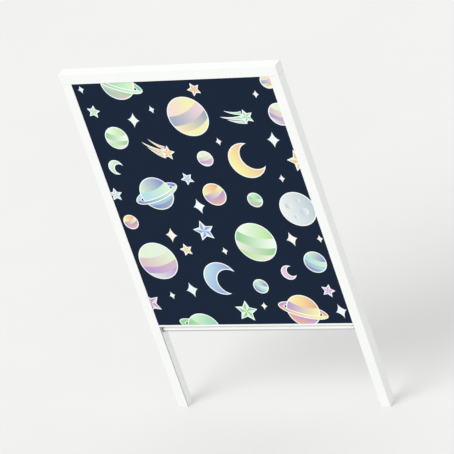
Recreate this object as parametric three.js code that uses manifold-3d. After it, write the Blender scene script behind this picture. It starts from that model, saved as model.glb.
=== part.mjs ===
// Roof window blind with side rails, in millimetres.
// X runs across the blind, Z runs up the rails, and -Y is the side that faces the room.
// The origin is the middle of the casing's top face, where the blind is held.
import * as THREE from 'three';
import { mergeVertices } from 'three/addons/utils/BufferGeometryUtils.js';
import Module from 'manifold-3d';

// Driving dimensions
const WIDTH = 611;              // over the outer faces of the rails
const HEIGHT = 987;             // from the casing's top to the rails' lower ends
const DEPTH = 28;               // casing and rails, front to back
const WALL = 1.4;               // wall of the extrusions
const GAP = 0.3;                // between pieces that touch
const EDGE_R = 0.8;             // rounding of the extrusions' outer edges
const FINE_R = 0.5;             // rounding of the bar's edges and of the moulded pieces
const ARC_STEPS = 3;            // half the straight steps in the rounding of an edge
const ROUND_STEPS = 20;         // the same round a tube
const PAST = 1;                 // how far a cut or a joined piece reaches past a face
const WELD = 1e-4;              // points that are closer than this are one point

const CASING_H = 28.5;
const CASING_RETURN = 10;       // flange that turns in under the back of the casing

const RAIL_W = 27;
const SLOT_Y = 5.4;             // the rail's slot for the cloth and the slider, front to back
const MOUTH_Y = 2.4;            // the same at its mouth, which a return narrows

const DROP = 709.5;             // cloth that shows between the casing and the bar
const CLOTH_W = 590;            // edge to edge, inside the slots
const CLOTH_T = 1;
const CLOTH_CLEARANCE = 0.4;    // between the cloth and the lips in front of it
const ROLL_R = 10.6;            // outside the turns still on the roller

const ROLLER_R = 8;
const ROLLER_BORE_R = 6.8;
const ROLLER_INSET = 9;         // from the casing's end to the roller's end

const CAP_T = 2.5;              // plate that closes the casing's end
const HUB_REACH = 18;           // the hub's length beyond the plate

const BAR_H = 25.7;
const BAR_CLEARANCE = 0.5;      // from the bar's strip to the rails
const SPINE_SETBACK = 10.4;     // the bar's upright wall, behind the front of the rails
const SPINE_T = 3;
const STRIP_H = 5.1;            // the strip that grips the hem
const STRIP_D = 5;
const STRIP_SETBACK = 0.4;      // the strip's face, behind the front of the rails
const STRIP_SKIN = 1.1;         // metal in front of the hem
const HEM_GROOVE_H = 4;
const LIP_SETBACK = 5.8;        // the lip's edge, behind the front of the rails
const LIP_DROP = 18.85;         // the same, below the bar's top
const LIP_LEAN = 0.7;           // how far the lip comes forward for each millimetre down
const NOTCH = 5.3;              // what is cut from both ends below the strip

const SLIDER_GAP = 0.4;         // running clearance of the slider in its slot
const SLIDER_R = 2;
const CAP_PROUD = 0.3;          // how far the bar's end caps stand out in front of the lip
const CAP_SHOULDER = 0.6;       // the same in front of the upright wall
const CAP_TOE = 1.6;            // the same in front of the foot
const ARM_H = 3;                // the arm from the cap to the slider, under the strip

const FRONT = -DEPTH / 2;
const BACK = DEPTH / 2;
const CLOTH_FRONT = FRONT + WALL + CLOTH_CLEARANCE;
const CLOTH_BACK = CLOTH_FRONT + CLOTH_T;
const ROLL_Y = CLOTH_BACK + GAP + ROLL_R;
const ROLL_Z = -CASING_H / 2;
const RAIL_INNER = WIDTH / 2 - RAIL_W;
const BAR_TOP = -CASING_H - DROP;
const STRIP_HALF = RAIL_INNER - BAR_CLEARANCE;
const LIP_HALF = STRIP_HALF - NOTCH;
const STRIP_FRONT = FRONT + STRIP_SETBACK;
const STRIP_BACK = STRIP_FRONT + STRIP_D;
const SPINE_FRONT = FRONT + SPINE_SETBACK;
const SPINE_BACK = SPINE_FRONT + SPINE_T;
const LIP_FRONT = FRONT + LIP_SETBACK;

const wasm = await Module();
wasm.setup();

// An outline through corners [u, v, radius]; a corner without a radius stays sharp.
function outline(corners) {
  const path = new THREE.Shape();
  const at = (i) => new THREE.Vector2(...corners[(i + corners.length) % corners.length].slice(0, 2));
  corners.forEach(([u, v, radius = 0], i) => {
    const corner = new THREE.Vector2(u, v);
    const before = at(i - 1).sub(corner).normalize();
    const after = at(i + 1).sub(corner).normalize();
    const half = before.angleTo(after) / 2;
    const reach = radius / Math.tan(half);
    const start = corner.clone().addScaledVector(before, reach);
    const end = corner.clone().addScaledVector(after, reach);
    if (i === 0) path.moveTo(start.x, start.y);
    else path.lineTo(start.x, start.y);
    if (radius === 0) return;
    const middle = before.add(after).normalize();
    const centre = corner.clone().addScaledVector(middle, radius / Math.sin(half));
    const from = start.sub(centre).angle();
    const to = end.sub(centre).angle();
    const turn = ((to - from + 3 * Math.PI) % (2 * Math.PI)) - Math.PI;
    path.absarc(centre.x, centre.y, radius, from, from + turn, turn < 0);
  });
  path.closePath();
  return path;
}

// A section drawn in Y and Z, drawn out along X and centred on the blind.
function drawnAcross(section, length, curveSegments = ARC_STEPS) {
  const geometry = new THREE.ExtrudeGeometry(section, { depth: length, bevelEnabled: false, curveSegments });
  geometry.translate(0, 0, -length / 2);
  const x = new THREE.Vector3(1, 0, 0);
  const y = new THREE.Vector3(0, 1, 0);
  const z = new THREE.Vector3(0, 0, 1);
  return geometry.applyMatrix4(new THREE.Matrix4().makeBasis(y, z, x));
}

function box(x0, x1, y0, y1, z0, z1) {
  const geometry = new THREE.BoxGeometry(x1 - x0, y1 - y0, z1 - z0);
  return geometry.translate((x0 + x1) / 2, (y0 + y1) / 2, (z0 + z1) / 2);
}

function solid(geometry) {
  geometry.deleteAttribute('normal');
  geometry.deleteAttribute('uv');
  const merged = mergeVertices(geometry, WELD);
  return new wasm.Manifold(new wasm.Mesh({
    numProp: 3,
    vertProperties: new Float32Array(merged.attributes.position.array),
    triVerts: new Uint32Array(merged.index.array),
  }));
}

function geometryOf(manifold) {
  const { vertProperties, triVerts } = manifold.getMesh();
  const geometry = new THREE.BufferGeometry();
  geometry.setAttribute('position', new THREE.BufferAttribute(vertProperties, 3));
  geometry.setIndex(new THREE.BufferAttribute(triVerts, 1));
  geometry.computeVertexNormals();
  return geometry;
}

const FINISHES = {
  powderCoat: { color: 0xf4f4f1, roughness: 0.45, metalness: 0 },
  whitePlastic: { color: 0xeeeeea, roughness: 0.5, metalness: 0 },
  greyPlastic: { color: 0x929597, roughness: 0.55, metalness: 0 },
  millAluminium: { color: 0xb8babc, roughness: 0.4, metalness: 1 },
  dimmingCloth: { color: 0x1e2a3a, roughness: 0.9, metalness: 0 },
};

function piece(name, geometry, finish) {
  const mesh = new THREE.Mesh(geometry, new THREE.MeshStandardMaterial(FINISHES[finish]));
  mesh.name = name;
  return mesh;
}

// The head casing is an extruded C section. Behind the cloth it is open below, and a
// flange turned in under its back wall stiffens it.
function makeCasing() {
  const section = outline([
    [FRONT, -CASING_H],
    [FRONT, 0, EDGE_R],
    [BACK, 0, EDGE_R],
    [BACK, -CASING_H, EDGE_R],
    [BACK - CASING_RETURN, -CASING_H],
    [BACK - CASING_RETURN, -CASING_H + WALL],
    [BACK - WALL, -CASING_H + WALL],
    [BACK - WALL, -WALL],
    [FRONT + WALL, -WALL],
    [FRONT + WALL, -CASING_H],
  ]);
  return piece('casing', drawnAcross(section, WIDTH), 'powderCoat');
}

// A moulded cap fills each end of the casing, down to the rail where the casing is open
// below, and its hub carries the roller.
function makeCasingEnd(side) {
  const low = -CASING_H + WALL + GAP;
  const high = -WALL - GAP;
  const near = FRONT + WALL + GAP;
  const far = BACK - WALL - GAP;
  const step = BACK - CASING_RETURN - GAP;
  const plateOutline = outline([
    [near, -CASING_H, FINE_R],
    [near, high, FINE_R],
    [far, high, FINE_R],
    [far, low, FINE_R],
    [step, low],
    [step, -CASING_H, FINE_R],
  ]);
  const plate = drawnAcross(plateOutline, CAP_T);
  plate.translate(side * (WIDTH - CAP_T) / 2, 0, 0);
  const overlap = CAP_T / 2;
  const hubR = ROLLER_BORE_R - GAP;
  const hub = new THREE.CylinderGeometry(hubR, hubR, HUB_REACH + overlap, 2 * ROUND_STEPS);
  hub.rotateZ(Math.PI / 2);
  hub.translate(side * (WIDTH / 2 - CAP_T - (HUB_REACH - overlap) / 2), ROLL_Y, ROLL_Z);
  return geometryOf(solid(plate).add(solid(hub)));
}

// The roller is a drawn tube, which the cloth hangs from and winds on.
function makeRoller() {
  const section = new THREE.Shape().absarc(ROLL_Y, ROLL_Z, ROLLER_R, 0, 2 * Math.PI);
  section.holes.push(new THREE.Path().absarc(ROLL_Y, ROLL_Z, ROLLER_BORE_R, 0, 2 * Math.PI));
  return piece('roller', drawnAcross(section, WIDTH - 2 * ROLLER_INSET, ROUND_STEPS), 'millAluminium');
}

// The cloth's turns still on the roller are one ring.
function makeClothRoll() {
  const section = new THREE.Shape().absarc(ROLL_Y, ROLL_Z, ROLL_R, 0, 2 * Math.PI);
  section.holes.push(new THREE.Path().absarc(ROLL_Y, ROLL_Z, ROLLER_R + GAP, 0, 2 * Math.PI));
  return piece('cloth_roll', drawnAcross(section, CLOTH_W, ROUND_STEPS), 'dimmingCloth');
}

// The rest of the cloth leaves the front of the roll as a flat sheet, runs down behind the
// lips of the casing and the rails, and ends in the bar's groove.
function makeCloth() {
  const hem = BAR_TOP - HEM_GROOVE_H + GAP;
  const sheet = box(-CLOTH_W / 2, CLOTH_W / 2, CLOTH_FRONT, CLOTH_BACK, hem, ROLL_Z);
  return piece('cloth', sheet, 'dimmingCloth');
}

// A side rail is one extrusion: a lip in front of the cloth's edge, the slot that the edge
// and the slider run in, and a closed chamber behind it. The chamber's inner wall goes on in
// front of the slot as a return, which leaves a narrow mouth and keeps the slider in.
function makeRail(side) {
  const inner = side * RAIL_INNER;
  const outer = side * WIDTH / 2;
  const web = outer - side * WALL;
  const slotFront = FRONT + WALL;
  const slotBack = slotFront + SLOT_Y;
  const section = outline([
    [outer, FRONT, EDGE_R],
    [outer, BACK, EDGE_R],
    [inner, BACK, EDGE_R],
    [inner, slotFront + MOUTH_Y, WALL / 4],
    [inner + side * WALL, slotFront + MOUTH_Y, WALL / 4],
    [inner + side * WALL, slotBack],
    [web, slotBack],
    [web, slotFront],
    [inner, slotFront, WALL / 4],
    [inner, FRONT, WALL / 2],
  ]);
  section.holes.push(outline([
    [inner + side * WALL, BACK - WALL],
    [web, BACK - WALL],
    [web, slotBack + WALL],
    [inner + side * WALL, slotBack + WALL],
  ]));
  const top = -CASING_H - GAP;
  const length = HEIGHT + top;
  const geometry = new THREE.ExtrudeGeometry(section, {
    depth: length,
    bevelEnabled: false,
    curveSegments: ARC_STEPS,
  });
  return geometry.translate(0, 0, -HEIGHT);
}

// The pull bar grips the hem in a strip along its top. From there a wall goes back and down,
// and a lip leans forward from it, which the fingers press down from above and hook from
// below. Both ends under the strip are cut short for the end caps.
function makeBar() {
  const hemFront = STRIP_FRONT + STRIP_SKIN;
  const hemBack = CLOTH_BACK + GAP;
  const lipBack = LIP_FRONT + WALL * Math.hypot(1, LIP_LEAN);
  const section = outline([
    [STRIP_FRONT, 0, FINE_R],
    [STRIP_FRONT, -STRIP_H, FINE_R],
    [SPINE_FRONT, -STRIP_H],
    [SPINE_FRONT, -LIP_DROP + (SPINE_FRONT - LIP_FRONT) / LIP_LEAN],
    [LIP_FRONT, -LIP_DROP, FINE_R],
    [lipBack, -LIP_DROP, FINE_R / 2],
    [SPINE_FRONT, -LIP_DROP + (SPINE_FRONT - lipBack) / LIP_LEAN],
    [SPINE_FRONT, -BAR_H, FINE_R],
    [SPINE_BACK, -BAR_H, FINE_R],
    [SPINE_BACK, -STRIP_H + SPINE_T, FINE_R],
    [STRIP_BACK, -STRIP_H + SPINE_T],
    [STRIP_BACK, 0, FINE_R],
    [hemBack, 0],
    [hemBack, -HEM_GROOVE_H],
    [hemFront, -HEM_GROOVE_H],
    [hemFront, 0],
  ]);
  let bar = solid(drawnAcross(section, 2 * STRIP_HALF));
  for (const side of [-1, 1]) {
    const ends = [side * LIP_HALF, side * (STRIP_HALF + PAST)].sort((a, b) => a - b);
    const below = solid(box(...ends, LIP_FRONT - PAST, SPINE_BACK + PAST, -BAR_H - PAST, -STRIP_H));
    const behind = solid(box(...ends, STRIP_BACK, SPINE_BACK + PAST, -BAR_H - PAST, PAST));
    bar = bar.subtract(below.add(behind));
  }
  return piece('bar', geometryOf(bar).translate(0, 0, BAR_TOP), 'powderCoat');
}

// A moulded cap closes each end of the bar. An arm under the strip leads from it through the
// mouth of the rail's slot to the slider, which runs in the slot below the hem.
function makeBarEnd(side) {
  const near = FRONT + WALL + SLIDER_GAP;
  const far = FRONT + WALL + SLOT_Y - SLIDER_GAP;
  const mouth = FRONT + WALL + MOUTH_Y - SLIDER_GAP;
  const low = -BAR_H;
  const under = -STRIP_H - GAP;
  const high = -HEM_GROOVE_H - GAP;
  const capFrom = LIP_HALF + GAP;
  const capTo = RAIL_INNER - GAP;
  const sliderFrom = RAIL_INNER + WALL + SLIDER_GAP;
  const sliderTo = WIDTH / 2 - WALL - SLIDER_GAP;
  const nose = LIP_FRONT - CAP_PROUD;
  const noseZ = -LIP_DROP - CAP_PROUD;
  const shoulder = SPINE_FRONT - CAP_SHOULDER;
  const cap = drawnAcross(outline([
    [shoulder, under, FINE_R],
    [shoulder, noseZ + (shoulder - nose) / LIP_LEAN],
    [nose, noseZ, FINE_R],
    [SPINE_FRONT - CAP_TOE, low, FINE_R],
    [SPINE_BACK, low, FINE_R],
    [SPINE_BACK, under, FINE_R],
  ]), capTo - capFrom);
  cap.translate((capFrom + capTo) / 2, 0, 0);
  const arm = box(capFrom, capTo, near, SPINE_FRONT + PAST, under - ARM_H, under);
  const neck = box(capTo - PAST, sliderFrom + PAST, near, mouth, under - ARM_H, under);
  const tongue = box(STRIP_HALF + GAP, sliderFrom + PAST, near, mouth, low, high);
  const face = outline([
    [sliderFrom, low, FINE_R],
    [sliderTo, low, SLIDER_R],
    [sliderTo, high, SLIDER_R],
    [sliderFrom, high, FINE_R],
  ]);
  const slider = new THREE.ExtrudeGeometry(face, {
    depth: far - near,
    bevelEnabled: false,
    curveSegments: ARC_STEPS,
  });
  slider.rotateX(Math.PI / 2).translate(0, far, 0);
  const whole = [arm, neck, tongue, slider].reduce((sum, next) => sum.add(solid(next)), solid(cap));
  return geometryOf(side > 0 ? whole : whole.mirror([1, 0, 0])).translate(0, 0, BAR_TOP);
}

const blind = new THREE.Group();
blind.add(makeCasing(), makeRoller(), makeClothRoll(), makeCloth(), makeBar());
for (const [name, side] of [['left', -1], ['right', 1]]) {
  blind.add(
    piece(`casing_end_${name}`, makeCasingEnd(side), 'whitePlastic'),
    piece(`rail_${name}`, makeRail(side), 'powderCoat'),
    piece(`bar_end_${name}`, makeBarEnd(side), 'greyPlastic'),
  );
}

export default blind;
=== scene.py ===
import math

import bpy
from mathutils import Matrix, Vector
from mathutils.geometry import delaunay_2d_cdt
from mathutils.kdtree import KDTree


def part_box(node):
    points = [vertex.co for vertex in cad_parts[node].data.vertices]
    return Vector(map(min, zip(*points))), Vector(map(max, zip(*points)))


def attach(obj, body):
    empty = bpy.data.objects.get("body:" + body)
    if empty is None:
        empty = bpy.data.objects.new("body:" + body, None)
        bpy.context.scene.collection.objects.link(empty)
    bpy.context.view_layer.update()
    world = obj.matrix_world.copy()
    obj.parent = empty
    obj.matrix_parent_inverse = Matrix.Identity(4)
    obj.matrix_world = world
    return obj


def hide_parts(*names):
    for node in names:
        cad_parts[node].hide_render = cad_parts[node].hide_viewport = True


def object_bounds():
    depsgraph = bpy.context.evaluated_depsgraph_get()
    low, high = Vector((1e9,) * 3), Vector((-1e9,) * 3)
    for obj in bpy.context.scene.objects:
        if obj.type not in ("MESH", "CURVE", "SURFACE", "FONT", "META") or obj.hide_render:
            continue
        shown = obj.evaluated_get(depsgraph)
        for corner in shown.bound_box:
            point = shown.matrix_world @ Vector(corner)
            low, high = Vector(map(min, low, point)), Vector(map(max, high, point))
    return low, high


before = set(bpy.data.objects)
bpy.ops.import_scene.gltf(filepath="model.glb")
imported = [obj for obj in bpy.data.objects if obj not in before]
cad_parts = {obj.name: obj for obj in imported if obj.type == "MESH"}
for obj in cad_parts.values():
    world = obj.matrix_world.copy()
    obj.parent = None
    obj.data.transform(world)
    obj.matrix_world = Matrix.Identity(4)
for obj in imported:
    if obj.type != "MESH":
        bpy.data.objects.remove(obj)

cad_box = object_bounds()


# Head casing. An aluminium extrusion with a C section, powder coated in white, that hangs
# from the top of the opening. Its front lip hides the roller behind it.
# The solid has the extrusion's own shape, so it stays and gets the coating.
POWDER_PEEL_MM = 1.3        # orange peel that the coating flows out to in the oven
POWDER_CLOUD_MM = 70        # slow change of tone and gloss along the extrusion


def linear(hex_colour):
    """An sRGB hex value as the linear colour that shaders work with."""
    parts = [int(hex_colour[i:i + 2], 16) / 255 for i in (1, 3, 5)]
    return Vector([p / 12.92 if p <= 0.04045 else ((p + 0.055) / 1.055) ** 2.4 for p in parts])


def paint(hex_colour):
    """The same with an alpha, as a colour socket takes it."""
    return (*linear(hex_colour), 1.0)


def per_mm(size):
    """The texture scale at which one feature is that many millimetres wide."""
    return 1000 / size


def new_material(name):
    material = bpy.data.materials.new(name)
    material.use_nodes = True
    material.node_tree.nodes.clear()
    return material


def add_node(material, kind, inputs=None, **settings):
    """Adds a node. Settings are its own fields, and inputs are values or other nodes' sockets."""
    tree = material.node_tree
    node = tree.nodes.new("ShaderNode" + kind)
    for field, value in settings.items():
        setattr(node, field, value)
    for socket, value in (inputs or {}).items():
        if isinstance(value, bpy.types.NodeSocket):
            tree.links.new(value, node.inputs[socket])
        else:
            node.inputs[socket].default_value = value
    return node


def white_powder_coat():
    """Satin polyester powder coating: a clean white with soft highlights and a faint peel."""
    material = new_material("white_powder_coat")
    place = add_node(material, "TexCoord").outputs["Object"]
    peel = add_node(material, "TexNoise", {
        "Vector": place, "Scale": per_mm(POWDER_PEEL_MM), "Detail": 1.0, "Roughness": 0.4,
    })
    cloud = add_node(material, "TexNoise", {
        "Vector": place, "Scale": per_mm(POWDER_CLOUD_MM), "Detail": 3.0,
    })
    colour = add_node(material, "Mix", {
        "Factor": cloud.outputs["Fac"], "A": paint("#EAECEA"), "B": paint("#EFF1EF"),
    }, data_type="RGBA")
    gloss = add_node(material, "MapRange", {
        "Value": cloud.outputs["Fac"], "To Min": 0.38, "To Max": 0.48,
    })
    bump = add_node(material, "Bump", {
        "Height": peel.outputs["Fac"], "Strength": 0.12, "Distance": 0.00008,
    })
    coat = add_node(material, "BsdfPrincipled", {
        "Base Color": colour.outputs["Result"],
        "Roughness": gloss.outputs["Result"],
        "IOR": 1.5,
        "Normal": bump.outputs["Normal"],
    })
    add_node(material, "OutputMaterial", {"Surface": coat.outputs["BSDF"]})
    return material


def finish_solid(name, material):
    """Gives a solid that stays its finish, on every slot it has."""
    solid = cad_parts[name]
    for material_slot in solid.material_slots:
        material_slot.material = material


powder_coat = white_powder_coat()
finish_solid("casing", powder_coat)


# Casing ends. Caps moulded in white ABS and pushed into the casing, each with a hub that
# the roller turns on. They stay as the solids are.
MOULD_GRAIN_MM = 0.9


def moulded_white_abs():
    """Moulded ABS: a warmer, more even white than the coating, with a fine spark grain."""
    material = new_material("moulded_white_abs")
    place = add_node(material, "TexCoord").outputs["Object"]
    grain = add_node(material, "TexNoise", {
        "Vector": place, "Scale": per_mm(MOULD_GRAIN_MM), "Detail": 2.0,
    })
    colour = add_node(material, "Mix", {
        "Factor": grain.outputs["Fac"], "A": paint("#EBEBE6"), "B": paint("#F0F0EC"),
    }, data_type="RGBA")
    bump = add_node(material, "Bump", {
        "Height": grain.outputs["Fac"], "Strength": 0.2, "Distance": 0.00005,
    })
    plastic = add_node(material, "BsdfPrincipled", {
        "Base Color": colour.outputs["Result"],
        "Roughness": 0.5,
        "IOR": 1.54,
        "Normal": bump.outputs["Normal"],
    })
    add_node(material, "OutputMaterial", {"Surface": plastic.outputs["BSDF"]})
    return material


white_abs = moulded_white_abs()
for side in ("left", "right"):
    finish_solid(f"casing_end_{side}", white_abs)


# Roller. A drawn aluminium tube in mill finish, which turns on the two hubs and which the
# cloth hangs from. The solid is that tube, so it stays.
DRAW_LINE_MM = 0.5          # fine lines that the die leaves along the tube
DRAW_LINE_LENGTH_MM = 150


def drawn_mill_aluminium():
    """Drawn aluminium, left bare: a soft grey metal that shines in streaks along the tube."""
    material = new_material("drawn_mill_aluminium")
    place = add_node(material, "TexCoord").outputs["Object"]
    lengthwise = add_node(material, "Mapping", {
        "Vector": place,
        "Scale": (per_mm(DRAW_LINE_LENGTH_MM), per_mm(DRAW_LINE_MM), per_mm(DRAW_LINE_MM)),
    })
    lines = add_node(material, "TexNoise", {
        "Vector": lengthwise.outputs["Vector"], "Scale": 1.0, "Detail": 3.0,
    })
    colour = add_node(material, "Mix", {
        "Factor": lines.outputs["Fac"], "A": paint("#B2B4B6"), "B": paint("#C9CBCD"),
    }, data_type="RGBA")
    gloss = add_node(material, "MapRange", {
        "Value": lines.outputs["Fac"], "To Min": 0.3, "To Max": 0.45,
    })
    bump = add_node(material, "Bump", {
        "Height": lines.outputs["Fac"], "Strength": 0.25, "Distance": 0.00003,
    })
    metal = add_node(material, "BsdfPrincipled", {
        "Base Color": colour.outputs["Result"],
        "Metallic": 1.0,
        "Roughness": gloss.outputs["Result"],
        "Normal": bump.outputs["Normal"],
    })
    add_node(material, "OutputMaterial", {"Surface": metal.outputs["BSDF"]})
    return material


finish_solid("roller", drawn_mill_aluminium())


# Cloth. One sheet of coated polyester, printed on the side towards the room and metallised
# on its back. It is wound on the roller with the print outwards, runs down behind the lips
# of the casing and the rails with its edges in the rails' slots, and ends in the bar.
MM = 0.001                  # a millimetre in metres
X, Y, Z = range(3)


def extent(node, axis):
    """From where to where a solid reaches along one axis, in millimetres."""
    low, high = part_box(node)
    return round(low[axis] / MM, 2), round(high[axis] / MM, 2)


CLOTH_THICKNESS = 0.4
WOUND_LENGTH = 311          # what reaches the rails' lower ends when it is drawn out, and a turn
LAST_TURN_R = 8.6           # of the printed face where the sheet is fixed to the roller
FACE_SETBACK = 0.1          # from the solid's front, so the face is 0.5 mm behind the lips
HEM_LIFT = 0.2              # from the solid's lower edge to the hem, in the bar's strip
CLOTH_WIDTH = extent("cloth", X)[1] - extent("cloth", X)[0]
PRINTED_FACE_Y = extent("cloth", Y)[0] + FACE_SETBACK
HEM_Z = extent("cloth", Z)[0] + HEM_LIFT
ROLLER_Y, ROLLER_Z = [round(sum(extent("roller", axis)) / 2, 2) for axis in (Y, Z)]
HUNG_LENGTH = ROLLER_Z - HEM_Z
CLOTH_LENGTH = HUNG_LENGTH + WOUND_LENGTH
FIRST_TURN_R = ROLLER_Y - PRINTED_FACE_Y
TURN_PITCH = (FIRST_TURN_R ** 2 - LAST_TURN_R ** 2) * math.pi / WOUND_LENGTH
RIPPLE = 0.1                # how far the stretched cloth is from flat
RIPPLE_RADIAN = 47          # across the cloth for each radian of the ripple
SWAY = 0.6                  # how far the ripple's waves wander to the side, in radians
SWAY_RADIAN = 160           # along the cloth for each radian of that wander
NEARBY = 0.5                # from a point to those that give the slope there


def on_blind(across, along):
    """Where a point of the printed face is, from its place on the flat cloth above the hem."""
    if along <= HUNG_LENGTH:
        ease = math.sin(math.pi * along / HUNG_LENGTH)
        sway = SWAY * math.sin(along / SWAY_RADIAN)
        ripple = RIPPLE * ease * math.sin(across / RIPPLE_RADIAN + sway)
        return Vector((across, PRINTED_FACE_Y + ripple, HEM_Z + along)) * MM
    wound = along - HUNG_LENGTH
    radius = math.sqrt(FIRST_TURN_R ** 2 - TURN_PITCH * wound / math.pi)
    angle = 2 * math.pi * (FIRST_TURN_R - radius) / TURN_PITCH
    y = ROLLER_Y - radius * math.cos(angle)
    z = ROLLER_Z + radius * math.sin(angle)
    return Vector((across, y, z)) * MM


def facing(across, along):
    """Which way the printed face looks at that point."""
    crosswise = on_blind(across + NEARBY, along) - on_blind(across - NEARBY, along)
    upwards = on_blind(across, along + NEARBY) - on_blind(across, along - NEARBY)
    return crosswise.cross(upwards).normalized()


# The print is a night sky on navy: planets, moons, stars, comets and glints. Each motif is a
# stack of inked areas. An area is its outline, in millimetres from the motif's middle, and
# the inks at its left and right ends. A pale edge lies under the inks.
NAVY = "#0B1D33"            # darker than it looks, because the matt face adds a little white
PALE_EDGE = "#F3F8F5"
EDGE_WIDTH = 2.6
PRINT_REPEAT = 720
DISC_STEPS = 48
INKS = {
    "lemon": ("#E9EDA4", "#F0E3B4", "#93A6B9", "#EDD2D4"),
    "spring": ("#80C6A4", "#D9BDC2", "#93CD90", "#D2EDCF"),
    "dusk": ("#7C84C6", "#9DB3BC", "#A8D6E0", "#D2EACA"),
    "lilac": ("#DEE7DD", "#B193CC", "#D3B8C0", "#DCEBCC"),
    "peach": ("#E4A68C", "#CCA9AE", "#B494CE", "#F0EDA4"),
    "meadow": ("#A9DA8C", "#E6E5DC", "#8DC98B", "#ECF5EA"),
}


def arc(across, up, start, end, steps, middle=0):
    """Points along an ellipse from one angle to another, in degrees."""
    angles = [math.radians(start + (end - start) * i / steps) for i in range(steps + 1)]
    return [(middle + across * math.cos(a), up * math.sin(a)) for a in angles]


def disc(radius, left, right, middle=(0, 0), steps=DISC_STEPS):
    """A round area."""
    edge = [(x + middle[0], y + middle[1]) for x, y in arc(radius, radius, 0, 360, steps)[:-1]]
    return (edge, left, right)


def edge_and_ink(left, right):
    """The two layers of an area: how far each goes past the area's line, and its inks."""
    return ((EDGE_WIDTH, PALE_EDGE, PALE_EDGE), (0, left, right))


# A planet is a disc with four bands, and some have a ring round them that is seen from a
# little above. Its sizes are in radii.
RING_OUTSIDE = (1.42, 0.40)     # half the ring's width and height
RING_INSIDE = (1.17, 0.26)
RING_STEPS = 28
BAND_LEVELS = (-1, -0.52, -0.1, 0.42, 1)
BAND_SAG = 0.2              # in half lengths of the line between two bands
BAND_STEPS = 12


def half_ring(radius, start, left, right):
    """Half of the ring round a planet, the far half from 0 degrees and the near one from 180."""
    areas = []
    for grow, *inks in edge_and_ink(left, right):
        outside = [share * radius + grow for share in RING_OUTSIDE]
        inside = [share * radius - grow for share in RING_INSIDE]
        there = arc(*outside, start, start + 180, RING_STEPS)
        back = arc(*inside, start + 180, start, RING_STEPS)
        areas.append((there + back, *inks))
    return areas


def planet(size, inks, ringed=False):
    """A disc with bowed bands of ink that each run softly from one colour to the next."""
    radius = size / 2
    body = radius - EDGE_WIDTH

    def bow(level):
        half = body * math.sqrt(1 - level ** 2)
        places = [2 * i / BAND_STEPS - 1 for i in range(BAND_STEPS + 1)] if half else [0]
        return [(half * u, body * level - BAND_SAG * half * (1 - u * u)) for u in places]

    areas = half_ring(radius, 0, inks[2], inks[0]) if ringed else []
    areas.append(disc(radius, PALE_EDGE, PALE_EDGE))
    for i, (low, high) in enumerate(zip(BAND_LEVELS, BAND_LEVELS[1:])):
        first, last = math.degrees(math.asin(low)), math.degrees(math.asin(high))
        right_side = arc(body, body, first, last, BAND_STEPS)[1:-1]
        left_side = [(-x, y) for x, y in reversed(right_side)]
        band = bow(low) + right_side + bow(high)[::-1] + left_side
        areas.append((band, inks[i], inks[(i + 1) % len(inks)]))
    if ringed:
        areas += half_ring(radius, 180, inks[0], inks[3])
    return areas


# A crescent's hollow is the arc of a smaller circle whose middle lies to the side, both in
# sizes of the crescent. A full moon's craters are in its radii.
HOLLOW_RADIUS = 0.40
HOLLOW_ASIDE = 0.26
LIMB_STEPS = 44
HOLLOW_STEPS = 30
CRATERS = (                 # across, up, radius
    (-0.42, 0.28, 0.19),
    (0.25, 0.45, 0.13),
    (0.3, -0.22, 0.24),
    (-0.3, -0.42, 0.12),
)
CRATER_STEPS = 24


def crescent(size, left, right):
    """A young moon, between the arc of its lit limb and the arc of its hollow."""
    areas = []
    for grow, *inks in edge_and_ink(left, right):
        limb = size / 2 - EDGE_WIDTH + grow
        hollow = HOLLOW_RADIUS * size - grow
        aside = HOLLOW_ASIDE * size
        tip_x = (limb ** 2 - hollow ** 2 + aside ** 2) / (2 * aside)
        limb_tip = math.degrees(math.acos(tip_x / limb))
        hollow_tip = math.degrees(math.acos((tip_x - aside) / hollow))
        outside = arc(limb, limb, limb_tip, 360 - limb_tip, LIMB_STEPS)
        inside = arc(hollow, hollow, 360 - hollow_tip, hollow_tip, HOLLOW_STEPS, middle=aside)
        areas.append((outside + inside[1:-1], *inks))
    return areas


def full_moon(size, light, shade):
    """A disc with craters, which are shaded the other way round and so look sunken."""
    radius = size / 2
    areas = [disc(radius, PALE_EDGE, PALE_EDGE), disc(radius - EDGE_WIDTH, light, shade)]
    for across, up, crater in CRATERS:
        middle = (across * radius, up * radius)
        areas.append(disc(crater * radius, shade, light, middle, CRATER_STEPS))
    return areas


STAR_POINTS = 5
STAR_WAIST = 0.5            # between the points, in radii of the star
GLINT_WIDTH = 0.76          # in heights of the glint
GLINT_STEPS = 32


def star(size, light, shade):
    """A star folded along its rays, with one side of each ray darker."""
    reach = size / 2
    corners = 2 * STAR_POINTS
    outline = []
    for i in range(corners):
        radius = reach * (STAR_WAIST if i % 2 else 1)
        angle = math.pi * i / STAR_POINTS
        outline.append((radius * math.sin(angle), radius * math.cos(angle)))
    shrink = 1 - EDGE_WIDTH / (reach * STAR_WAIST)
    inner = [(x * shrink, y * shrink) for x, y in outline]
    areas = [(outline, PALE_EDGE, PALE_EDGE)]
    for i in range(corners):
        ink = shade if i % 2 else light
        areas.append(([(0, 0), inner[(i + 1) % corners], inner[i]], ink, ink))
    return areas


def glint(size, ink):
    """Four short rays with hollow sides."""
    angles = [2 * math.pi * i / GLINT_STEPS for i in range(GLINT_STEPS)]
    half = size / 2
    edge = [(GLINT_WIDTH * half * math.cos(a) ** 3, half * math.sin(a) ** 3) for a in angles]
    return [(edge, ink, PALE_EDGE)]


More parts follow.
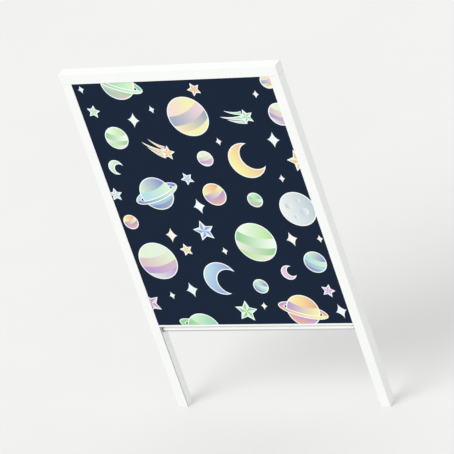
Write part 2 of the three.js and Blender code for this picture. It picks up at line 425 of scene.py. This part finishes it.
# A comet's tail, in sizes of the comet.
TAIL_STROKES = (            # height at the star, length, half thickness
    (-0.15, 0.66, 0.075),
    (0.0, 0.84, 0.085),
    (0.15, 0.62, 0.07),
)
TAIL_PLACES = (0.12, 0.3, 0.5, 0.7, 0.87, 1)    # along a stroke, from the star to its tip
TAIL_RISE = 0.24            # from the star to a stroke's tip
TAIL_TAPER = 0.7            # a power of what is left of the stroke, where 1 is an even taper
TAIL_CORE = 0.55            # the inked part of a stroke's thickness
COMET_STAR = 0.52


def comet(size, light, shade):
    """A small star with three tapering strokes behind it."""
    areas = []
    for low, length, thick in TAIL_STROKES:
        middle = [(-size * length * u, size * (low + TAIL_RISE * u * u)) for u in TAIL_PLACES]
        halves = [size * thick * (1 - u) ** TAIL_TAPER for u in TAIL_PLACES]
        over = [(x, y + half) for (x, y), half in zip(middle, halves)]
        under = [(x, y - half) for (x, y), half in zip(middle, halves)]
        areas.append((over + under[-2::-1], PALE_EDGE, PALE_EDGE))
        over = [(x, y + TAIL_CORE * half) for (x, y), half in zip(middle[:-1], halves)]
        under = [(x, y - TAIL_CORE * half) for (x, y), half in zip(middle[:-1], halves)]
        areas.append((over + under[::-1], light, shade))
    return areas + star(size * COMET_STAR, light, shade)


# The motifs of one repeat. After each come its place, across from the middle and up from the
# hem in millimetres, and its turn in degrees.
MOTIFS = [
    (planet(94, INKS["dusk"], ringed=True), -148, 392, 20),
    (planet(92, INKS["peach"], ringed=True), 151, 42, -16),
    (planet(94, INKS["spring"], ringed=True), -149, 710, -22),
    (planet(112, INKS["meadow"]), 84, 244, -14),
    (planet(112, INKS["lemon"]), 17, 609, 24),
    (planet(108, INKS["lilac"]), -213, 195, 12),
    (crescent(100, "#EFEBA6", "#E9B98F"), 138, 479, 28),
    (crescent(96, "#B7D9E6", "#8C90CC"), -50, 140, -24),
    (full_moon(98, "#E6EBEA", "#B9C6CC"), 233, 337, 10),
    (planet(64, INKS["lilac"]), 274, 606, -20),
    (planet(64, INKS["peach"]), 15, 385, 30),
    (planet(62, INKS["dusk"]), 231, 183, -26),
    (planet(64, INKS["meadow"]), -205, 555, -10),
    (star(64, "#F0ECA6", "#D9BF9A"), 281, 474, 12),
    (star(64, "#D9EFD2", "#8FC99A"), -10, 42, -8),
    (star(64, "#EBD2D6", "#B596C8"), -279, 69, 18),
    (star(62, "#CFE6EE", "#8E9BC9"), -50, 280, 8),
    (comet(82, "#F0E9AE", "#E2AC90"), -76, 508, -12),
    (comet(84, "#DDEFE6", "#93CDA6"), 178, 602, 14),
    (planet(42, INKS["lemon"]), 270, 699, 16),
    (planet(42, INKS["spring"]), 123, 366, -18),
    (planet(42, INKS["peach"]), -251, 311, 22),
    (planet(42, INKS["dusk"]), 55, 115, -30),
    (planet(44, INKS["lilac"]), 24, 488, 14),
    (star(40, "#E9EEF0", "#B7C3CE"), -266, 392, 0),
    (star(40, "#F0D9B4", "#E0A487"), 60, 684, 20),
    (star(38, "#D6EFD6", "#9CCFA9"), -244, 632, -14),
    (star(38, "#F0ECB0", "#CFC39A"), -120, 226, 10),
    (star(40, "#E6D3E4", "#B29ACB"), 240, 99, -20),
    (star(38, "#D3E7F0", "#95A9CE"), -46, 432, 24),
    (crescent(42, "#DDEBDD", "#9CCBB0"), -237, 471, -30),
    (crescent(42, "#EBD0D4", "#C0A0C8"), 147, 154, 20),
    (glint(46, "#D9ECF2"), -145, 108, 8),
    (glint(46, "#DFF2EC"), 231, 535, -6),
    (glint(44, "#F0DDE0"), 188, 251, 10),
    (glint(44, "#DDF0E4"), -139, 604, -10),
    (glint(46, "#E3EAF0"), -40, 352, 6),
    (glint(44, "#F0E3CF"), -148, 270, -8),
    (glint(44, "#DFECF4"), 257, 39, 12),
    (glint(24, "#F0E8DC"), 266, 250, 0),
    (glint(24, "#DDEFF0"), -78, 632, 10),
    (glint(24, "#F0D9CF"), 225, 664, -8),
    (glint(24, "#E3F0DF"), -12, 220, 6),
    (glint(24, "#E6E0F0"), 218, 425, -4),
    (glint(24, "#DFF0EF"), -208, 92, 12),
    (glint(24, "#F0EFD6"), 45, 57, -10),
    (glint(24, "#F0DCE0"), 78, 535, 4),
    (glint(24, "#DDE8F0"), -257, 696, 8),
]
printed_areas = []


def print_motif(areas, across, along, turn):
    """Prints a motif's areas in their place on the cloth, turned by some degrees."""
    spin = Matrix.Rotation(math.radians(turn), 2)
    middle = Vector((across, along))
    for points, left, right in areas:
        sides = [x for x, _ in points]
        edge = [spin @ Vector(p) + middle for p in points]
        if sum(a.cross(b) for a, b in zip(edge, edge[1:] + edge[:1])) < 0:
            edge.reverse()      # the triangulation takes what lies left of an edge
        printed_areas.append({
            "edge": edge,
            "home": (spin.transposed(), middle),
            "reach": (min(sides), max(sides)),
            "inks": (linear(left), linear(right)),
        })


def ink_at(area, point):
    """The ink of an area at a point of the cloth, from its left ink to its right one."""
    turn_back, middle = area["home"]
    low, high = area["reach"]
    share = ((turn_back @ (point - middle)).x - low) / (high - low)
    return area["inks"][0].lerp(area["inks"][1], min(max(share, 0), 1))


for repeat in (-1, 0, 1):
    for motif_areas, across, along, turn in MOTIFS:
        print_motif(motif_areas, across, along + repeat * PRINT_REPEAT, turn)


# The sheet's mesh follows the edges of the inks. Where it hangs, a grid of points between
# them carries its ripple, and where it is wound, close rows follow the turns.
HUNG_STEP = 15
WOUND_STEP = 1.6
WOUND_STEP_ACROSS = 59
CLEAR_OF_EDGE = 2.5         # a point of the grid that is nearer to an ink's edge is left out
MERGE_BELOW = 0.00001       # points that are closer than this are one point


def steps_between(start, end, step):
    """Evenly spaced values from start to end, as close to a step apart as goes in evenly."""
    count = max(1, round((end - start) / step))
    return [start + (end - start) * i / count for i in range(count + 1)]


def sheet_net():
    """Points, fixed lines and inked areas for the triangles of the flat cloth."""
    half = CLOTH_WIDTH / 2
    points, lines, areas = [], [], []
    shown = [a for a in printed_areas
             if max(p.y for p in a["edge"]) > 0 and min(p.y for p in a["edge"]) < CLOTH_LENGTH]
    for area in shown:
        areas.append(list(range(len(points), len(points) + len(area["edge"]))))
        points += area["edge"]
    ink_edges = KDTree(len(points))
    for i, point in enumerate(points):
        ink_edges.insert((*point, 0), i)
    ink_edges.balance()
    hung_rows = steps_between(0, HUNG_LENGTH, HUNG_STEP)
    wound_rows = steps_between(HUNG_LENGTH, CLOTH_LENGTH, WOUND_STEP)[1:]
    border = {-half: [], half: []}
    for along in hung_rows + wound_rows:
        wound = along >= HUNG_LENGTH
        whole = wound or along == 0
        row = []
        for across in steps_between(-half, half, WOUND_STEP_ACROSS if wound else HUNG_STEP):
            on_border = abs(across) == half
            to_edge = ink_edges.find((across, along, 0))[2]
            if to_edge < CLEAR_OF_EDGE and not (whole or on_border):
                continue
            if on_border:
                border[across].append(len(points))
            row.append(len(points))
            points.append(Vector((across, along)))
        if whole:
            lines += zip(row, row[1:])
    for side in border.values():
        lines += zip(side, side[1:])
    return points, lines, areas, shown


def sheet_triangles():
    """The points of the flat cloth, and its triangles, each with the inked area on top there."""
    points, lines, areas, shown = sheet_net()
    flat, _, triangles, _, _, areas_of = delaunay_2d_cdt(points, lines, areas, 0, MERGE_BELOW)
    on_cloth = []
    for triangle, found in zip(triangles, areas_of):
        middle = sum((flat[i] for i in triangle), Vector((0, 0))) / 3
        if abs(middle.x) < CLOTH_WIDTH / 2 and 0 < middle.y < CLOTH_LENGTH:
            on_cloth.append((triangle, shown[max(found)] if found else None))
    kept = sorted({i for triangle, _ in on_cloth for i in triangle})
    number = {old: new for new, old in enumerate(kept)}
    places = [flat[i] for i in kept]
    return places, [([number[i] for i in triangle], area) for triangle, area in on_cloth]


def printed_sheet():
    """The cloth as a closed mesh of its printed face, its back and its cut edges.

    The inks are a colour at each corner of the printed face's triangles.
    """
    places, printed = sheet_triangles()
    count = len(places)
    outwards = [facing(*place) for place in places]
    face = [on_blind(*place) for place in places]
    back = [point - normal * CLOTH_THICKNESS * MM for point, normal in zip(face, outwards)]

    front_faces = [triangle for triangle, _ in printed]
    back_faces = [[i + count for i in reversed(triangle)] for triangle in front_faces]
    sides = {(t[i - 1], t[i]) for t in front_faces for i in range(3)}
    cut_edges = [[b, a, a + count, b + count] for a, b in sorted(sides) if (b, a) not in sides]
    mesh = bpy.data.meshes.new("printed_cloth")
    mesh.from_pydata(face + back, [], front_faces + back_faces + cut_edges)
    mesh.polygons.foreach_set(
        "material_index", [0] * len(front_faces) + [1] * (len(back_faces) + len(cut_edges)))

    corners = [loop.vertex_index for loop in mesh.loops]
    navy = linear(NAVY)
    inks = [ink_at(area, places[i]) if area else navy for triangle, area in printed for i in triangle]
    inks += [navy] * (len(corners) - len(inks))
    mesh.color_attributes.new("ink", "FLOAT_COLOR", "CORNER").data.foreach_set(
        "color", [value for ink in inks for value in (*ink, 1.0)])
    mesh.uv_layers.new(name="place_on_cloth").uv.foreach_set(
        "vector", [value for i in corners for value in places[i % count] * MM])

    mesh.shade_smooth()
    own_normal = Vector((0, 0, 0))      # leaves a cut edge the normal that its face has
    cut_from = 3 * (len(front_faces) + len(back_faces))
    mesh.normals_split_custom_set([
        own_normal if n >= cut_from else outwards[i] if i < count else -outwards[i - count]
        for n, i in enumerate(corners)])
    return mesh


THREAD_MM = 0.9             # threads are 0.3 mm apart, too fine to show, so one is drawn for three
FADE_MM = 45                # slow change of the cloth's tone from handling and light
WAVE_PERIOD = math.pi / 10  # what a wave texture of scale 1 repeats after


def plain_weave(material, place):
    """How far the threads of a plain weave stand out."""
    threads = [add_node(material, "TexWave", {
        "Vector": place, "Scale": WAVE_PERIOD * per_mm(THREAD_MM), "Distortion": 0.4,
    }, bands_direction=direction).outputs["Fac"] for direction in ("X", "Y")]
    weave = add_node(material, "Math", {0: threads[0], 1: threads[1]}, operation="MULTIPLY")
    return weave.outputs["Value"]


def printed_polyester():
    """Coated polyester with pigment print: matt, with the weave just felt under flat inks."""
    material = new_material("printed_coated_polyester")
    place = add_node(material, "TexCoord").outputs["UV"]
    ink = add_node(material, "Attribute", attribute_name="ink").outputs["Color"]
    weave = plain_weave(material, place)
    fade = add_node(material, "TexNoise", {
        "Vector": place, "Scale": per_mm(FADE_MM), "Detail": 4.0,
    })
    lit = add_node(material, "MapRange", {
        "Value": weave, "To Min": 0.94, "To Max": 1.12,
    })
    aged = add_node(material, "MapRange", {
        "Value": fade.outputs["Fac"], "To Min": 0.94, "To Max": 1.06,
    })
    shade = add_node(material, "Math", {
        0: lit.outputs["Result"], 1: aged.outputs["Result"],
    }, operation="MULTIPLY")
    colour = add_node(material, "VectorMath", {
        0: ink, "Scale": shade.outputs["Value"],
    }, operation="SCALE")
    bump = add_node(material, "Bump", {
        "Height": weave, "Strength": 0.3, "Distance": 0.00006,
    })
    cloth = add_node(material, "BsdfPrincipled", {
        "Base Color": colour.outputs["Vector"],
        "Roughness": 0.88,
        "IOR": 1.46,
        "Specular IOR Level": 0.2,
        "Normal": bump.outputs["Normal"],
    })
    add_node(material, "OutputMaterial", {"Surface": cloth.outputs["BSDF"]})
    return material


def metallised_backing():
    """Aluminium vapour on the cloth's back: a soft silver that throws the sun's heat back."""
    material = new_material("metallised_backing")
    place = add_node(material, "TexCoord").outputs["UV"]
    weave = plain_weave(material, place)
    fade = add_node(material, "TexNoise", {
        "Vector": place, "Scale": per_mm(FADE_MM), "Detail": 4.0,
    })
    colour = add_node(material, "Mix", {
        "Factor": fade.outputs["Fac"], "A": paint("#C3C6C8"), "B": paint("#D2D5D7"),
    }, data_type="RGBA")
    bump = add_node(material, "Bump", {
        "Height": weave, "Strength": 0.4, "Distance": 0.00006,
    })
    film = add_node(material, "BsdfPrincipled", {
        "Base Color": colour.outputs["Result"],
        "Metallic": 0.85,
        "Roughness": 0.55,
        "Normal": bump.outputs["Normal"],
    })
    add_node(material, "OutputMaterial", {"Surface": film.outputs["BSDF"]})
    return material


cloth = bpy.data.objects.new("printed_cloth", printed_sheet())
bpy.context.scene.collection.objects.link(cloth)
cloth.data.materials.append(printed_polyester())
cloth.data.materials.append(metallised_backing())
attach(cloth, "root")
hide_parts("cloth", "cloth_roll")


# Side rails. Aluminium extrusions with the casing's coating, screwed to the sides of the
# opening. Each has a slot with a narrow mouth for the cloth's edge and the slider, and a
# closed chamber behind it. The solids stay.
for side in ("left", "right"):
    finish_solid(f"rail_{side}", powder_coat)


# Pull bar. An aluminium extrusion with the same coating, with painted shade in grey under its lip
# and in the corner over it. Its strip grips the hem, and under that a lip leans forward for the
# fingers, in front of its foot. The solid stays.
BAR_TOP = extent("bar", Z)[1]
RECESS_Y = (-6.8, -5.7)     # where the painted shade starts, front to back
RECESS_Z = (BAR_TOP - 19.2, BAR_TOP - 17.2)     # the same from below the lip's edge to over it
GROOVE_CORNER = (0, -3.6, BAR_TOP - 12.3)
GROOVE_REACH = (0.4, 1.5)   # painted shade, full within the first distance of the corner over the lip and gone at the second
WALL_Y = (-3.3, -2.7)       # inside the upright wall, whose back gets no painted shade


def powder_coat_with_painted_shade():
    """The white coating on the bar, with painted shade: grey under the lip and in the corner over it.
    """
    material = white_powder_coat()
    material.name = "white_powder_coat_painted_shade_in_recess"
    coat = material.node_tree.nodes["Principled BSDF"]
    full = coat.inputs["Base Color"].links[0].from_socket
    place = add_node(material, "SeparateXYZ", {
        0: add_node(material, "TexCoord").outputs["Object"],
    })
    behind = add_node(material, "MapRange", {
        "Value": place.outputs["Y"], "From Min": RECESS_Y[0] * MM, "From Max": RECESS_Y[1] * MM,
    })
    below = add_node(material, "MapRange", {
        "Value": place.outputs["Z"], "From Min": RECESS_Z[1] * MM, "From Max": RECESS_Z[0] * MM,
    })
    under_lip = add_node(material, "Math", {
        0: behind.outputs["Result"], 1: below.outputs["Result"],
    }, operation="MULTIPLY")
    across_bar = add_node(material, "CombineXYZ", {
        "Y": place.outputs["Y"], "Z": place.outputs["Z"],
    })
    from_corner = add_node(material, "VectorMath", {
        0: across_bar.outputs["Vector"], 1: Vector(GROOVE_CORNER) * MM,
    }, operation="DISTANCE")
    over_lip = add_node(material, "MapRange", {
        "Value": from_corner.outputs["Value"],
        "From Min": GROOVE_REACH[1] * MM, "From Max": GROOVE_REACH[0] * MM,
    })
    shaded_recess = add_node(material, "Math", {
        0: under_lip.outputs["Value"], 1: over_lip.outputs["Result"],
    }, operation="MAXIMUM")
    on_front = add_node(material, "MapRange", {
        "Value": place.outputs["Y"], "From Min": WALL_Y[1] * MM, "From Max": WALL_Y[0] * MM,
    })
    painted_shade_share = add_node(material, "Math", {
        0: shaded_recess.outputs["Value"], 1: on_front.outputs["Result"],
    }, operation="MULTIPLY")
    # painted shade: the recess under the lip and the corner over it are mixed towards grey
    colour = add_node(material, "Mix", {
        "Factor": painted_shade_share.outputs["Value"], "A": full, "B": paint("#C6C9C8"),
    }, data_type="RGBA")
    material.node_tree.links.new(colour.outputs["Result"], coat.inputs["Base Color"])
    return material


finish_solid("bar", powder_coat_with_painted_shade())


# Bar ends. Caps moulded in grey acetal, plugged into the bar's ends. Each carries the slider
# that runs in the rail's slot. The solids stay.
SLIDER_GRAIN_MM = 0.7


def moulded_grey_acetal():
    """Moulded acetal: a waxy mid grey with a low gloss where it rubs in the slot."""
    material = new_material("moulded_grey_acetal")
    place = add_node(material, "TexCoord").outputs["Object"]
    grain = add_node(material, "TexNoise", {
        "Vector": place, "Scale": per_mm(SLIDER_GRAIN_MM), "Detail": 2.0,
    })
    colour = add_node(material, "Mix", {
        "Factor": grain.outputs["Fac"], "A": paint("#8C8F91"), "B": paint("#989B9D"),
    }, data_type="RGBA")
    bump = add_node(material, "Bump", {
        "Height": grain.outputs["Fac"], "Strength": 0.2, "Distance": 0.00005,
    })
    plastic = add_node(material, "BsdfPrincipled", {
        "Base Color": colour.outputs["Result"],
        "Roughness": 0.42,
        "IOR": 1.48,
        "Normal": bump.outputs["Normal"],
    })
    add_node(material, "OutputMaterial", {"Surface": plastic.outputs["BSDF"]})
    return material


grey_acetal = moulded_grey_acetal()
for side in ("left", "right"):
    finish_solid(f"bar_end_{side}", grey_acetal)


# Studio. The blind stands on a plain pale floor, in even light from all round and a broad
# soft light from above and to the left of the camera.
FEET_CLEARANCE = 0.2        # from the floor to the rails' lower ends, so that no faces meet
FLOOR_Z = cad_box[0].z - FEET_CLEARANCE * MM
FLOOR_HALF = 30             # metres
LIGHT_FROM = Vector((-0.35, -0.6, 0.72)).normalized()
LIGHT_SPREAD = 45           # degrees, which leaves its shadows without an edge
LIGHT_STRENGTH = 1.2
AROUND = 0.9                # strength of the even light
MOTTLE_MM = 300


def pale_floor():
    """Matt floor paint: a very light grey with a slow mottle from the paint roller."""
    material = new_material("matt_floor_paint")
    place = add_node(material, "TexCoord").outputs["Object"]
    mottle = add_node(material, "TexNoise", {
        "Vector": place, "Scale": per_mm(MOTTLE_MM), "Detail": 3.0,
    })
    colour = add_node(material, "Mix", {
        "Factor": mottle.outputs["Fac"], "A": paint("#E0E0DF"), "B": paint("#E4E4E3"),
    }, data_type="RGBA")
    matt = add_node(material, "BsdfPrincipled", {
        "Base Color": colour.outputs["Result"], "Roughness": 0.95, "Specular IOR Level": 0.1,
    })
    add_node(material, "OutputMaterial", {"Surface": matt.outputs["BSDF"]})
    return material


floor_mesh = bpy.data.meshes.new("floor")
corners = [(x * FLOOR_HALF, y * FLOOR_HALF, FLOOR_Z) for x, y in ((-1, -1), (1, -1), (1, 1), (-1, 1))]
floor_mesh.from_pydata(corners, [], [(0, 1, 2, 3)])
floor_mesh.materials.append(pale_floor())
floor = bpy.data.objects.new("floor", floor_mesh)
bpy.context.scene.collection.objects.link(floor)

world = bpy.data.worlds.new("studio")
world.use_nodes = True
surround = world.node_tree.nodes["Background"]
surround.inputs["Color"].default_value = (1, 1, 1, 1)
surround.inputs["Strength"].default_value = AROUND
bpy.context.scene.world = world

light_data = bpy.data.lights.new("soft_light", "SUN")
light_data.angle = math.radians(LIGHT_SPREAD)
light_data.energy = LIGHT_STRENGTH
light = bpy.data.objects.new("soft_light", light_data)
light.rotation_mode = "QUATERNION"
light.rotation_quaternion = LIGHT_FROM.to_track_quat("Z", "Y")
bpy.context.scene.collection.objects.link(light)
bpy.context.scene.view_settings.view_transform = "Standard"


# Camera. A long lens from the right, above, and rolled so that the bar lies level, as the
# blind is seen when it hangs on a slope. The numbers come from its own edges.
SIGHT = Vector((-0.51067, 0.72491, -0.46229))
PICTURE_RIGHT = Vector((0.85956, 0.41826, -0.29363))
LOOKS_AT = Vector((0.0192, -0.014, -0.4502))
AWAY = 11.648               # metres from there to the camera
LENS_MM = 377.9

camera_data = bpy.data.cameras.new("camera")
camera_data.lens = LENS_MM
camera_data.sensor_width = 36
camera_data.clip_end = 100
camera = bpy.data.objects.new("camera", camera_data)
picture_up = PICTURE_RIGHT.cross(SIGHT).normalized()
axes = Matrix((PICTURE_RIGHT, picture_up, -SIGHT)).transposed()
camera.matrix_world = Matrix.Translation(LOOKS_AT - SIGHT * AWAY) @ axes.to_4x4()
bpy.context.scene.collection.objects.link(camera)
bpy.context.scene.camera = camera
